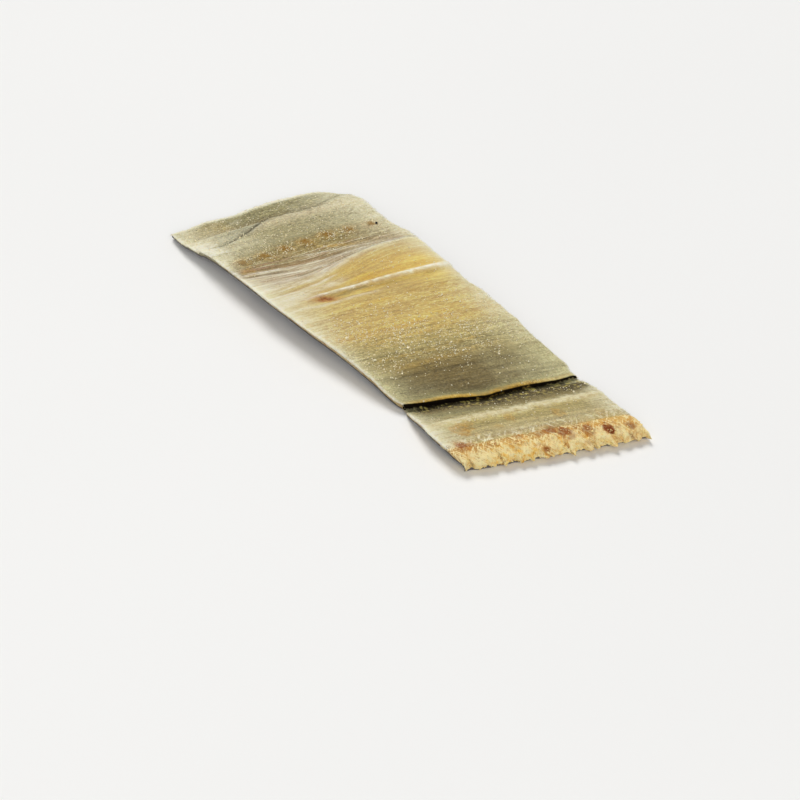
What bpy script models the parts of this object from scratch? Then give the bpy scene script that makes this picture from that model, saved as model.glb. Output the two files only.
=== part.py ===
"""A cut piece of dried, salted fish, lying with its flesh side up.

The piece is a strip cut slantwise across one side of a large split fish. It runs from the thin
belly margin, over the arched flesh and a slit down to the skin, to the crumbly row of halved
vertebrae where the fish was split. It is one solid, and all its relief is fused in it.

"along" is the place on the strip, 0 at the belly margin and 1 at the bones. "across" is the
place between its two cut edges, 0 at the near one and 1 at the far one. +X runs along, +Z up.
"""

import math

import bmesh
import bpy
import numpy as np

MM = 0.001

# Driving sizes in millimetres
STRIP_LENGTH = 161.5
MARGIN_SPAN = 62.0  # between the cut edges, measured along the fish
BONE_SPAN = 59.5
MARGIN_LEAN = math.radians(73.5)  # from the strip's run to the fish's own, at the margin
BONE_LEAN = math.radians(67.4)
BONE_SWING = 2.0  # the bones' end has swung towards the near edge, as on a hinge
CENTRE = (2.58, 1.17)  # the middle of the finished outline, which is set on the origin

# Where the parts of the strip lie along it
RIDGE = 0.39
SLIT_LIP = 0.773
LIP_RUN = 0.003  # the slit's wall falls over this share of the strip
SLIT_FLOOR_END = 0.783
BONES_START = 0.93
VERTEBRA_LINE = 0.972
BONE_FOOT = 0.981  # where the skin side ends, under the overhanging bones

# Heights in millimetres
ARCH_RISE = 5.2
BONE_ARCH_RISE = 1.8
LINING = 1.5  # the belly lining, left bare at the margin
LINING_SWELL = 0.5
CORNER_CURL = 0.8
RIDGE_RISE = 0.8
PIN_BONE_RISE = 0.55
VERTEBRA_RISE = 0.7
FAR_ROUNDING = 1.2
NEAR_ROUNDING = 0.3

# Smaller sizes in millimetres
RIDGE_WIDTH = 1.6
PIN_BONE_WIDTH = 1.5
VERTEBRA_WIDTH = 4.5
STEP_WIDTH = 1.2
FAR_ROUNDING_WIDTH = 3.5
NEAR_ROUNDING_WIDTH = 1.0
NEAR_UNDERCUT = 2.6
FAR_SPLAY = 1.4
BITE = 1.3  # the depth of the larger bites in the broken end
EDGE_REACH = 9.0  # how far into the piece a wander of its edge is felt
BONE_EDGE_REACH = 3.0

# How far some features reach, as shares of the strip's length or width
SWELL_END = 0.1
CURL_ALONG = 0.14
CURL_ACROSS = 0.3
RIDGE_START = 0.22
RIDGE_FADE = 0.2

# The main arch sags and swells by a share of its height
WAVE = 0.07
WAVE_TURN_ACROSS = 5.2  # in radians over the whole width
WAVE_TURN_ALONG = 7.5
WAVE_START = 0.6

# Rows across the strip: their number, and where the first lies
PIN_BONES = 7
PIN_BONE_START = 0.09
PIN_BONE_STEP = 0.132
VERTEBRAE = 8
VERTEBRA_SHIFT = 0.058
BITES = 9
SMALL_BITES = 19
SMALL_BITE_START = 0.7  # in radians
BITE_DRIFT = 0.012  # the bites' spacing and depth drift a little along the row
BITE_DRIFT_TURN = 23
BITE_DEPTH_TURN = 31

# Thickness of the flesh along the strip, in millimetres
FLESH = (
    (0.0, 2.3), (0.05, 2.7), (0.125, 3.2), (0.17, 4.0), (0.235, 3.6), (0.33, 3.5), (0.43, 3.8),
    (0.57, 4.6), (0.68, 4.6), (0.73, 3.5), (SLIT_LIP - LIP_RUN, 2.9), (SLIT_LIP, 1.0),
    (SLIT_FLOOR_END, 0.9), (0.793, 1.5), (0.82, 2.6), (0.855, 3.7), (0.89, 3.6),
    (BONES_START, 4.2), (0.962, 4.5), (0.982, 3.9), (1.0, 2.0),
)
THICKEST = max(thick for _, thick in FLESH)

# Where the flesh ends in a step on the lining: (across, along)
STEP_LINE = (
    (0.0, 0.125), (0.11, 0.135), (0.22, 0.119), (0.33, 0.097), (0.45, 0.068), (0.52, 0.061),
    (0.76, 0.065), (0.86, 0.05), (1.0, 0.03),
)

# Where the cut pin bones stand in their row: (across, along)
PIN_LINE = ((0.0, 0.228), (0.2, 0.219), (0.34, 0.208), (0.62, 0.191), (1.0, 0.19))

# How far each edge stands out from its straight line, in millimetres: (place on it, outwards)
NEAR_EDGE = (
    (0.0, -0.4), (0.06, 0.8), (0.12, 0.7), (0.19, 1.0), (0.38, 1.9), (0.5, 1.3), (0.6, -0.1),
    (0.72, -1.0), (0.75, -1.6), (0.768, -3.2), (0.79, -1.6), (0.87, 0.9), (0.94, 1.0), (1.0, -0.8),
)
FAR_EDGE = (
    (0.0, -1.5), (0.03, 2.0), (0.075, 2.8), (0.14, 0.4), (0.19, -0.7), (0.245, 0.7), (0.36, -0.8),
    (0.455, -2.2), (0.48, -1.2), (0.6, -1.2), (0.66, -2.0), (0.735, -0.8), (0.76, -1.8),
    (0.785, -0.6), (0.87, -1.6), (1.0, -0.8),
)
MARGIN_EDGE = (
    (0.0, -3.0), (0.12, -1.6), (0.22, 0.4), (0.42, 0.5), (0.5, 2.1), (0.65, 3.1), (0.88, 2.8),
    (0.96, 1.4), (1.0, -0.6),
)
BONE_EDGE = ((0.0, -2.6), (0.12, -1.6), (0.45, -0.4), (0.8, 0.0), (1.0, -0.9))

# The grid of the surfaces
EVEN_ROWS = 41
COLUMNS = 37
CREASES = (0.2, RIDGE, SLIT_LIP - 0.004, SLIT_LIP, SLIT_FLOOR_END, 0.793, 0.97, 0.994)
CLOSE_ROWS = (-0.006, 0.0, 0.006)
LEAST_ROW_GAP = 0.0028
LINE_SPREAD = 0.03
EDGE_SPREAD = 0.02
FLESH_SPREAD = 0.0015


def profile(knots, place, spread=0.004):
    """A value that runs straight from knot to knot, with each corner rounded a little."""
    places, values = np.array(knots).T
    return sum(np.interp(place + shift, places, values) for shift in (-spread, 0, spread)) / 3


def bump(distance, width):
    """1 in the middle, falling away like a bell."""
    return np.exp(-((distance / width) ** 2))


def rise(distance, width):
    """From 0 to 1 over a width, smoothly, centred on a distance of 0."""
    share = np.clip(distance / width + 0.5, 0, 1)
    return share * share * (3 - 2 * share)


def span(along):
    """The step from the near cut edge to the far one, as x and y."""
    margin = MARGIN_SPAN * np.array((math.cos(MARGIN_LEAN), math.sin(MARGIN_LEAN)))
    bone = BONE_SPAN * np.array((math.cos(BONE_LEAN), math.sin(BONE_LEAN)))
    return margin[0] + (bone[0] - margin[0]) * along, margin[1] + (bone[1] - margin[1]) * along


def bites(across):
    """How deep the broken end of the bones is bitten: round hollows with a point between them."""
    place = across + BITE_DRIFT * np.sin(BITE_DRIFT_TURN * across)
    uneven = 0.75 + 0.25 * np.sin(BITE_DEPTH_TURN * across)
    large = np.abs(np.sin(math.pi * BITES * place)) * uneven
    small = np.abs(np.sin(math.pi * SMALL_BITES * place + SMALL_BITE_START)) / 2
    return BITE * (large + small - 0.6)


def outline(along, across):
    """The x and y of a place on the strip, seen from above."""
    across_x, across_y = span(along)
    past_slit = np.clip((along - SLIT_LIP) / (1 - SLIT_LIP), 0, 1)
    x = STRIP_LENGTH * (along - 0.5) + across_x * (across - 0.5) - CENTRE[0]
    y = across_y * (across - 0.5) - BONE_SWING * past_slit - CENTRE[1]
    near = np.exp(-across * MARGIN_SPAN / EDGE_REACH)
    far = np.exp(-(1 - across) * MARGIN_SPAN / EDGE_REACH)
    margin = np.exp(-along * STRIP_LENGTH / EDGE_REACH)
    bones = np.exp(-(1 - along) * STRIP_LENGTH / BONE_EDGE_REACH)
    y += far * profile(FAR_EDGE, along) - near * profile(NEAR_EDGE, along)
    x += bones * (profile(BONE_EDGE, across, EDGE_SPREAD) - bites(across))
    x -= margin * profile(MARGIN_EDGE, across, EDGE_SPREAD)
    return x, y


def underside(along, across):
    """The height of the skin side: two arches that stand on three lines across the strip."""
    main = ARCH_RISE * np.sin(math.pi * np.clip(along / SLIT_LIP, 0, 1))
    past_slit = np.clip((along - SLIT_LIP) / (BONE_FOOT - SLIT_LIP), 0, 1)
    bone = BONE_ARCH_RISE * np.sin(math.pi * past_slit)
    corner = np.clip(1 - along / CURL_ALONG, 0, 1) * np.clip(1 - across / CURL_ACROSS, 0, 1)
    wave = WAVE * np.sin(WAVE_TURN_ACROSS * across + WAVE_TURN_ALONG * along + WAVE_START)
    return main * (1 + wave) + bone + CORNER_CURL * corner**2


def pin_bones(along, across):
    """The cut ends of the pin bones, in a row of knobs."""
    height = np.zeros_like(along)
    for number in range(PIN_BONES):
        place = PIN_BONE_START + PIN_BONE_STEP * number
        row = np.interp(place, *np.array(PIN_LINE).T)
        away = np.hypot((along - row) * STRIP_LENGTH, (across - place) * MARGIN_SPAN)
        height += PIN_BONE_RISE * bump(away, PIN_BONE_WIDTH)
    return height


def vertebrae(along, across):
    """The halved vertebrae, as a row of rounded bodies with a gap between each two."""
    bodies = np.abs(np.sin(math.pi * VERTEBRAE * (across - VERTEBRA_SHIFT))) - 0.5
    return VERTEBRA_RISE * bodies * bump((along - VERTEBRA_LINE) * STRIP_LENGTH, VERTEBRA_WIDTH)


def thickness(along, across):
    """The thickness of the piece from its skin side to its flesh side."""
    flesh = profile(FLESH, along, FLESH_SPREAD)
    lining = LINING + LINING_SWELL * np.clip(along / SWELL_END, 0, 1)
    past_step = (along - profile(STEP_LINE, across, LINE_SPREAD)) * STRIP_LENGTH
    ridge = bump((along - RIDGE) * STRIP_LENGTH, RIDGE_WIDTH) * rise(across - RIDGE_START, RIDGE_FADE)
    height = lining + (flesh - lining) * rise(past_step, STEP_WIDTH)
    height += RIDGE_RISE * ridge + pin_bones(along, across) + vertebrae(along, across)
    far = np.clip(1 - (1 - across) * MARGIN_SPAN / FAR_ROUNDING_WIDTH, 0, 1)
    near = np.clip(1 - across * MARGIN_SPAN / NEAR_ROUNDING_WIDTH, 0, 1)
    rounding = (FAR_ROUNDING * far**2 + NEAR_ROUNDING * near**2) * height / THICKEST
    return height - rounding


def flesh_side(along, across):
    """A point of the upper surface, in metres."""
    x, y = outline(along, across)
    return MM * np.stack((x, y, underside(along, across) + thickness(along, across)), -1)


def skin_side(along, across):
    """The point of the lower surface below it: the knife went in slantwise on both long edges."""
    slant = thickness(along, across) / THICKEST
    inset = NEAR_UNDERCUT * slant / MARGIN_SPAN
    splay = FAR_SPLAY * slant / MARGIN_SPAN
    across = inset + (1 + splay - inset) * across
    along = along - (1 - BONE_FOOT) * np.clip((along - BONES_START) / (1 - BONES_START), 0, 1) ** 2
    x, y = outline(along, across)
    return MM * np.stack((x, y, underside(along, across)), -1)


def rows():
    """Where rows of vertices lie along the strip: evenly, and closer at each crease."""
    wanted = [crease + shift for crease in CREASES for shift in CLOSE_ROWS]
    places = [0.0]
    for place in sorted(wanted + list(np.linspace(0, 1, EVEN_ROWS))):
        if places[-1] + LEAST_ROW_GAP < place < 1 - LEAST_ROW_GAP:
            places.append(place)
    return np.array(places + [1.0])


def make_slab():
    """One closed solid: a grid on the flesh side, extruded down to the skin side."""
    along, across = np.meshgrid(rows(), np.linspace(0, 1, COLUMNS), indexing="ij")
    upper = flesh_side(along, across).reshape(-1, 3)
    lower = skin_side(along, across).reshape(-1, 3)
    mesh = bmesh.new()
    top = [mesh.verts.new(point) for point in upper]
    for row in range(along.shape[0] - 1):
        for column in range(COLUMNS - 1):
            corner = row * COLUMNS + column
            mesh.faces.new([top[corner + step] for step in (0, COLUMNS, COLUMNS + 1, 1)])
    mesh.verts.index_update()
    index_of = {tuple(vert.co): vert.index for vert in top}
    made = bmesh.ops.extrude_face_region(mesh, geom=mesh.faces[:], use_keep_orig=True)
    for vert in made["geom"]:
        if isinstance(vert, bmesh.types.BMVert):
            vert.co = lower[index_of[tuple(vert.co)]]
    bmesh.ops.triangulate(mesh, faces=mesh.faces[:])
    bmesh.ops.recalc_face_normals(mesh, faces=mesh.faces[:])
    return mesh


def make_material():
    material = bpy.data.materials.new("dried_flesh")
    material.use_nodes = True
    surface = material.node_tree.nodes["Principled BSDF"]
    surface.inputs["Base Color"].default_value = (0.56, 0.44, 0.2, 1)
    surface.inputs["Roughness"].default_value = 0.45
    surface.inputs["Metallic"].default_value = 0
    return material


def main():
    for old in list(bpy.data.objects):
        bpy.data.objects.remove(old)
    solid = make_slab()
    data = bpy.data.meshes.new("dried_fish_piece")
    solid.to_mesh(data)
    solid.free()
    data.shade_smooth()
    data.set_sharp_from_angle(angle=math.radians(40))
    data.materials.append(make_material())
    piece = bpy.data.objects.new("dried_fish_piece", data)
    bpy.context.scene.collection.objects.link(piece)


main()
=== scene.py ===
"""Looks of a cut piece of dried, salted fish, lying with its flesh side up.

The flesh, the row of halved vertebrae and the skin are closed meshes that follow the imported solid's
form, with finer relief. Crumbs, fibres and salt crystals lie on them. Each vertex keeps masks as
attributes, and the materials mix their colours by them.

"along" is the place on the strip, 0 at the belly margin and 1 at the bones. "across" is the
place between its two cut edges, 0 at the near one and 1 at the far one. "depth" is 0 on the upper
face and 1 at the foot of the cut sides. Lengths are in millimetres until a mesh is made.
"""

import itertools
import math

import bmesh
import bpy
import numpy as np
from mathutils import Matrix, Vector


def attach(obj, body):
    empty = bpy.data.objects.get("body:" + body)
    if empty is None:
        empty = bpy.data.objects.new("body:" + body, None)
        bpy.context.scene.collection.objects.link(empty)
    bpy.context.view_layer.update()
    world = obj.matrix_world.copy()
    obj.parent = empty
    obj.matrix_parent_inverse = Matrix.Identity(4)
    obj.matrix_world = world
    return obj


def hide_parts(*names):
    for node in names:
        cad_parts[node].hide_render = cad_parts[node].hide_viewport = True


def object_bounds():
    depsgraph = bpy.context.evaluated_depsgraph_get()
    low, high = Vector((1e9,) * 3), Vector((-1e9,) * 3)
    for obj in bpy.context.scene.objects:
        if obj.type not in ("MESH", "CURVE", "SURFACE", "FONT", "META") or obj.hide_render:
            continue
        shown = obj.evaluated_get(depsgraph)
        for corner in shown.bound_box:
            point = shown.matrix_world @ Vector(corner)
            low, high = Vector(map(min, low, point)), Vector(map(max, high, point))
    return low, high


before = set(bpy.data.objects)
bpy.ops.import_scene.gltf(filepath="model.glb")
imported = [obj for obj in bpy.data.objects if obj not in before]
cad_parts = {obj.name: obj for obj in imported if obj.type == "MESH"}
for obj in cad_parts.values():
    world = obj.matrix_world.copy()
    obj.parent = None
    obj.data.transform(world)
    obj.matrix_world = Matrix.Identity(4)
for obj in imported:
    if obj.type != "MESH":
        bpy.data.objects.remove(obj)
cad_low, cad_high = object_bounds()

NODE = "dried_fish_piece"
MM = 0.001
HIGHEST = cad_high.z / MM + 0.26  # no relief or crystal stands higher, in millimetres
CAP_SOFTNESS = 0.1
FLOOR_GAP = 0.02

# The form of the solid, as the part's source has it
STRIP_LENGTH = 161.5
MARGIN_SPAN = 62.0
BONE_SPAN = 59.5
MARGIN_LEAN = math.radians(73.5)
BONE_LEAN = math.radians(67.4)
BONE_SWING = 2.0
CENTRE = (2.58, 1.17)
SLIT_LIP = 0.773
SLIT_FLOOR_END = 0.783
BONES_START = 0.93
BONE_FOOT = 0.981
ARCH_RISE = 5.2
BONE_ARCH_RISE = 1.8
LINING = 1.5
LINING_SWELL = 0.5
CORNER_CURL = 0.8
WAVE = 0.07
RIDGE_RISE = 0.8
PIN_BONE_RISE = 0.55
VERTEBRA_RISE = 0.7
FAR_ROUNDING = 1.2
NEAR_ROUNDING = 0.3
PIN_BONE_WIDTH = 1.5
FAR_ROUNDING_WIDTH = 3.5
NEAR_ROUNDING_WIDTH = 1.0
NEAR_UNDERCUT = 2.6
FAR_SPLAY = 1.4
BITE = 1.3
EDGE_REACH = 9.0
PIN_BONES = 7
PIN_START = 0.09
PIN_STEP = 0.132
VERTEBRAE = 8
VERTEBRA_SHIFT = 0.058
BITES = 9
FLESH = (
    (0.0, 2.3), (0.05, 2.7), (0.125, 3.2), (0.17, 4.0), (0.235, 3.6), (0.33, 3.5), (0.43, 3.8),
    (0.57, 4.6), (0.68, 4.6), (0.73, 3.5), (SLIT_LIP - 0.003, 2.9), (SLIT_LIP, 1.0),
    (SLIT_FLOOR_END, 0.9), (0.793, 1.5), (0.82, 2.6), (0.855, 3.7), (0.89, 3.6),
    (BONES_START, 4.2), (0.962, 4.5), (0.982, 3.9), (1.0, 2.0),
)
THICKEST = max(thick for _, thick in FLESH)
STEP_LINE = (
    (0.0, 0.125), (0.11, 0.135), (0.22, 0.119), (0.33, 0.097), (0.45, 0.068), (0.52, 0.061),
    (0.76, 0.065), (0.86, 0.05), (1.0, 0.03),
)
PIN_LINE = ((0.0, 0.228), (0.2, 0.219), (0.34, 0.208), (0.62, 0.191), (1.0, 0.19))
NEAR_EDGE = (
    (0.0, -0.4), (0.06, 0.8), (0.12, 0.7), (0.19, 1.0), (0.38, 1.9), (0.5, 1.3), (0.6, -0.1),
    (0.72, -1.0), (0.75, -1.6), (0.768, -3.2), (0.79, -1.6), (0.87, 0.9), (0.94, 1.0), (1.0, -0.8),
)
FAR_EDGE = (
    (0.0, -1.5), (0.03, 2.0), (0.075, 2.8), (0.14, 0.4), (0.19, -0.7), (0.245, 0.7), (0.36, -0.8),
    (0.455, -2.2), (0.48, -1.2), (0.6, -1.2), (0.66, -2.0), (0.735, -0.8), (0.76, -1.8),
    (0.785, -0.6), (0.87, -1.6), (1.0, -0.8),
)
MARGIN_EDGE = (
    (0.0, -3.0), (0.12, -1.6), (0.22, 0.4), (0.42, 0.5), (0.5, 2.1), (0.65, 3.1), (0.88, 2.8),
    (0.96, 1.4), (1.0, -0.6),
)
BONE_EDGE = ((0.0, -2.6), (0.12, -1.6), (0.45, -0.4), (0.8, 0.0), (1.0, -0.9))

# Lines that only the looks have, as (across, along)
LIP_LINE = (
    (0.0, 0.766), (0.16, 0.77), (0.28, 0.77), (0.38, 0.7765), (0.47, 0.7848), (0.52, 0.78),
    (0.67, 0.7753), (0.74, 0.7765), (0.87, 0.7805), (1.0, 0.773),
)
MURK_LINE = ((0.0, 0.8), (0.2, 0.803), (0.4, 0.812), (0.7, 0.82), (0.9, 0.828), (1.0, 0.82))
RIDGE_LINE = ((0.0, 0.402), (0.23, 0.398), (0.6, 0.393), (1.0, 0.389))
FURROW_LINE = (
    (0.0, 0.077), (0.15, 0.069), (0.3, 0.064), (0.42, 0.059), (0.72, 0.058), (0.86, 0.045), (1.0, 0.03),
)

# The fan of fibres lies between a thread on its margin side and a pale strand on the other
THREAD_LINE = ((0.0, 0.27), (0.16, 0.275), (0.29, 0.281), (0.43, 0.277), (0.6, 0.268), (1.0, 0.264))
STRAND_LINE = (
    (0.0, 0.36), (0.14, 0.352), (0.3, 0.336), (0.43, 0.316), (0.54, 0.298), (0.65, 0.282),
    (0.77, 0.271), (1.0, 0.267),
)

# Lines that the fibres follow, and the place that each has in the fibres' own order
FLOW_LINES = (
    (((0.0, 0.0), (1.0, 0.0)), 0.0), (PIN_LINE, 0.2), (THREAD_LINE, 0.277), (STRAND_LINE, 0.33),
    (RIDGE_LINE, 0.4), (((0.0, SLIT_LIP), (1.0, SLIT_LIP)), SLIT_LIP), (((0.0, 1.0), (1.0, 1.0)), 1.0),
)

# Single streaks: their line, half width, strength, and how far across they run
PALE_STREAKS = (
    (STRAND_LINE, 0.42, 0.6, 0.05, 0.9),
    (((0.2, 0.352), (0.4, 0.324), (0.55, 0.299), (0.68, 0.281), (0.85, 0.272)), 1.1, 0.42, 0.25, 0.95),
    (((0.0, 0.376), (0.14, 0.369), (0.3, 0.356), (0.45, 0.333), (0.6, 0.302)), 0.6, 0.6, 0.0, 0.4),
    (THREAD_LINE, 0.32, 0.6, 0.02, 0.72),
    (((0.0, 0.287), (0.14, 0.291), (0.32, 0.3), (0.52, 0.295), (0.75, 0.273)), 0.4, 0.45, 0.0, 0.75),
    (((0.0, 0.322), (0.3, 0.318), (0.5, 0.303), (0.7, 0.277)), 0.5, 0.4, 0.0, 0.7),
    (((0.0, 0.345), (0.25, 0.338), (0.45, 0.308)), 0.5, 0.45, 0.0, 0.45),
    (((0.3, 0.24), (0.45, 0.247), (0.6, 0.252), (0.8, 0.26)), 0.35, 0.4, 0.35, 0.8),
    (((0.0, 0.43), (0.2, 0.432), (0.35, 0.428), (0.5, 0.43)), 0.6, 0.45, 0.0, 0.5),
    (((0.0, 0.386), (0.15, 0.382), (0.28, 0.37)), 2.2, 0.6, 0.0, 0.24),
    (((0.2, 0.376), (0.35, 0.368), (0.45, 0.36)), 1.5, 0.5, 0.15, 0.42),
)
DARK_STREAKS = (
    (((0.1, 0.264), (0.18, 0.266), (0.34, 0.261), (0.53, 0.266), (0.7, 0.262)), 0.75, 0.42, 0.12, 0.6),
    (((0.0, 0.275), (0.12, 0.283), (0.22, 0.288)), 0.6, 0.7, 0.02, 0.24),
    (((0.2, 0.245), (0.4, 0.241), (0.6, 0.248)), 0.8, 0.4, 0.2, 0.62),
    (((0.3, 0.31), (0.5, 0.29), (0.7, 0.272)), 0.4, 0.5, 0.25, 0.75),
    # The next two lie just past the ridge and paint the shade on its lower side.
    (((0.26, 0.408), (0.4, 0.404), (0.52, 0.41), (0.7, 0.411), (0.95, 0.404)), 0.9, 0.4, 0.2, 0.95),
    (((0.22, 0.414), (0.42, 0.408)), 0.9, 0.5, 0.2, 0.42),
    (((0.1, 0.683), (0.4, 0.68), (0.8, 0.665)), 0.5, 0.35, 0.1, 0.8),
    (((0.1, 0.722), (0.5, 0.718), (0.8, 0.725)), 0.6, 0.35, 0.1, 0.8),
)
GOLD_STREAKS = (
    (((0.22, 0.391), (0.44, 0.374), (0.65, 0.367), (1.0, 0.36)), 1.6, 0.8, 0.25, 1.0),
    (((0.28, 0.406), (0.5, 0.4), (0.75, 0.396), (1.0, 0.392)), 1.0, 0.9, 0.25, 1.0),
    (((0.3, 0.425), (0.52, 0.418), (0.7, 0.412), (1.0, 0.41)), 1.2, 0.6, 0.35, 1.0),
    (((0.25, 0.412), (0.6, 0.409), (1.0, 0.404)), 1.1, 0.8, 0.25, 1.0),
    (((0.5, 0.224), (0.6, 0.236), (0.68, 0.245)), 0.9, 0.8, 0.5, 0.7),
    (((0.3, 0.47), (0.6, 0.455), (1.0, 0.45)), 2.2, 0.5, 0.3, 0.9),
    (((0.0, 0.56), (0.4, 0.555), (0.7, 0.54), (1.0, 0.53)), 2.4, 0.6, 0.0, 0.75),
    (((0.1, 0.642), (0.4, 0.64), (0.7, 0.63), (1.0, 0.62)), 1.0, 0.45, 0.1, 0.7),
    (((0.2, 0.674), (0.5, 0.667), (0.8, 0.65)), 1.3, 0.25, 0.2, 0.8),
)

# Brown stains: (along, across, radius, strength)
STAINS = (
    (0.263, 0.07, 2.2, 0.4), (0.874, 0.2, 1.6, 0.45), (0.889, 0.15, 3.2, 0.75), (0.912, 0.19, 1.2, 0.3),
    (0.866, 0.43, 1.2, 0.4), (0.882, 0.42, 1.8, 0.45), (0.893, 0.66, 2.2, 0.45),
    (0.9, 0.33, 1.2, 0.25), (0.92, 0.86, 2.2, 0.4), (0.925, 0.95, 1.6, 0.4),
)

# Dark blood spots: (along, across, radius, strength)
BLOOD_SPOTS = (
    (0.948, 0.055, 1.4, 0.35), (0.934, 0.08, 1.5, 0.85), (0.937, 0.125, 1.0, 0.45),
    (0.944, 0.36, 1.2, 0.35), (0.946, 0.47, 1.1, 0.4), (0.946, 0.495, 1.2, 0.4), (0.943, 0.53, 1.7, 0.75),
    (0.955, 0.59, 2.0, 0.75), (0.968, 0.6, 1.2, 0.5), (0.965, 0.7, 1.6, 0.5), (0.957, 0.71, 1.5, 0.7),
    (0.967, 0.81, 2.0, 1.0), (0.969, 0.935, 1.4, 0.7),
    (0.984, 0.44, 0.9, 0.7), (0.986, 0.66, 0.8, 0.4), (0.993, 0.9, 1.0, 0.6),
)

# The old smear of blood by the ridge's near end: its place, and how it slants
SMEAR_ALONG = 0.413
SMEAR_ACROSS = 0.235
SMEAR_SLANT = 16.0

# How far the painted shadow of the slit reaches over its floor, in millimetres: (across, reach)
BLACK_REACH = ((0.0, 0.4), (0.27, 0.4), (0.42, 0.0), (0.5, -0.2), (0.6, -0.1), (0.8, 0.1), (1.0, 0.1))

# How wide the pale borders are along the strip, as a share of their usual width
NEAR_BORDER = (
    (0.0, 1.8), (0.15, 2.1), (0.2, 1.3), (0.235, 0.7), (0.26, 0.15), (0.28, 0.15), (0.33, 1.2),
    (0.42, 1.4), (0.5, 1.1), (0.57, 0.8), (0.66, 0.8), (0.7, 1.2), (0.74, 1.9), (0.76, 1.6), (0.785, 0.5),
    (0.82, 0.6), (0.85, 1.2), (0.92, 0.8), (0.95, 0.4), (1.0, 0.4),
)
FAR_BORDER = (
    (0.0, 1.5), (0.1, 1.6), (0.2, 1.5), (0.3, 0.9), (0.35, 0.45), (0.42, 0.6), (0.5, 1.1), (0.55, 1.2),
    (0.62, 1.5), (0.7, 2.3), (0.765, 2.4), (0.785, 0.12), (0.82, 0.15), (0.85, 1.2), (0.92, 0.8),
    (0.95, 0.4), (1.0, 0.4),
)

# The meshes
TEETH = 14
NIBBLES = 37
TEETH_POINT = np.array((0.85, -0.5, 0.0))
FLESH_SPACING = 0.4
BONE_SPACING = 0.21
SKIN_SPACING = 0.6
COARSE = 4  # a cell of a slab's back is as wide as this many cells of its face
FLESH_LEVELS = 7
BONE_LEVELS = 14
FLESH_END = 0.968  # the flesh runs on a little inside the bones
FLESH_SINKS = 0.943
BONE_TOP = 0.915
SKIN_THICKNESS = 0.45
SKIN_OVERLAP = 0.15
SALT_CRYSTALS = 3400
BONE_CRUMBS = 260
SPECK_ALONG = 0.195
SPECK_ACROSS = 0.905
LYING_FIBRES = 260
EDGE_FIBRES = 620
TORN_FIBRES = 260
FIBRE_RINGS = 6


# Smooth curves and noise

def profile(knots, place, spread=0.004):
    """A value that runs straight from knot to knot, with each corner rounded a little."""
    places, values = np.array(knots).T
    return sum(np.interp(place + shift, places, values) for shift in (-spread, 0, spread)) / 3


def bump(distance, width):
    """1 in the middle, falling away like a bell."""
    return np.exp(-((distance / width) ** 2))


def rise(distance, width):
    """From 0 to 1 over a width, smoothly, centred on a distance of 0."""
    share = np.clip(distance / width + 0.5, 0, 1)
    return share * share * (3 - 2 * share)


def between(value, low, high, soft):
    """1 from low to high, fading to 0 over a width at both."""
    return rise(value - low, soft) * rise(high - value, soft)


def strongest(*shares):
    """The highest of several values at each place."""
    return np.maximum.reduce(shares)


def lattice(cells, seed):
    """A value from -1 to 1 for each whole-numbered cell, the same each run."""
    mixed = np.full(cells[0].shape, seed * 2654435761 % 2**32, np.uint32)
    for cell, factor in zip(cells, (374761393, 668265263, 1274126177)):
        mixed = (mixed ^ (cell.astype(np.int64) % 2**32).astype(np.uint32)) * np.uint32(factor)
        mixed = mixed ^ (mixed >> np.uint32(15))
    return (mixed & np.uint32(0xFFFF)) / 0x7FFF - 1.0


def noise(*place, seed=0):
    """Smooth noise from -1 to 1, with one wave to about two units."""
    place = np.broadcast_arrays(*place)
    cells = [np.floor(p) for p in place]
    blends = [(p - c) ** 3 * ((p - c) * (6 * (p - c) - 15) + 10) for p, c in zip(place, cells)]
    total = 0
    for corner in itertools.product((0, 1), repeat=len(place)):
        weight = 1
        for step, blend in zip(corner, blends):
            weight = weight * (blend if step else 1 - blend)
        total = total + weight * lattice([c + s for c, s in zip(cells, corner)], seed)
    return total


def rough(*place, seed=0, octaves=3):
    """Noise with finer noise added on it."""
    total = 0
    for octave in range(octaves):
        total = total + noise(*[p * 2**octave for p in place], seed=seed + octave) / 2**octave
    return total / (2 - 2 ** (1 - octaves))


def lump_distance(*place, seed=0):
    """How far it is to the middle of the nearest of many scattered lumps, one to a unit cell."""
    place = np.broadcast_arrays(*place)
    cells = [np.floor(p) for p in place]
    nearest = np.full(place[0].shape, 9.0)
    for step in itertools.product((-1, 0, 1), repeat=len(place)):
        corner = [c + s for c, s in zip(cells, step)]
        away = 0
        for axis in range(len(place)):
            middle = corner[axis] + 0.5 + 0.42 * lattice(corner, seed + axis)
            away = away + (middle - place[axis]) ** 2
        nearest = np.minimum(nearest, away)
    return np.sqrt(nearest)


# The form

def span(along):
    """The step from the near cut edge to the far one, as x and y."""
    margin = MARGIN_SPAN * np.array((math.cos(MARGIN_LEAN), math.sin(MARGIN_LEAN)))
    bone = BONE_SPAN * np.array((math.cos(BONE_LEAN), math.sin(BONE_LEAN)))
    return margin[0] + (bone[0] - margin[0]) * along, margin[1] + (bone[1] - margin[1]) * along


def bites(across):
    """How deep the broken end of the bones is bitten: round hollows with a point between them."""
    place = across + 0.012 * np.sin(23 * across)
    large = np.abs(np.sin(math.pi * BITES * place))
    small = np.abs(np.sin(math.pi * (2 * BITES + 1) * place + 0.7))
    return BITE * (large * (0.75 + 0.25 * np.sin(31 * across)) + 0.5 * small - 0.6)


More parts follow.
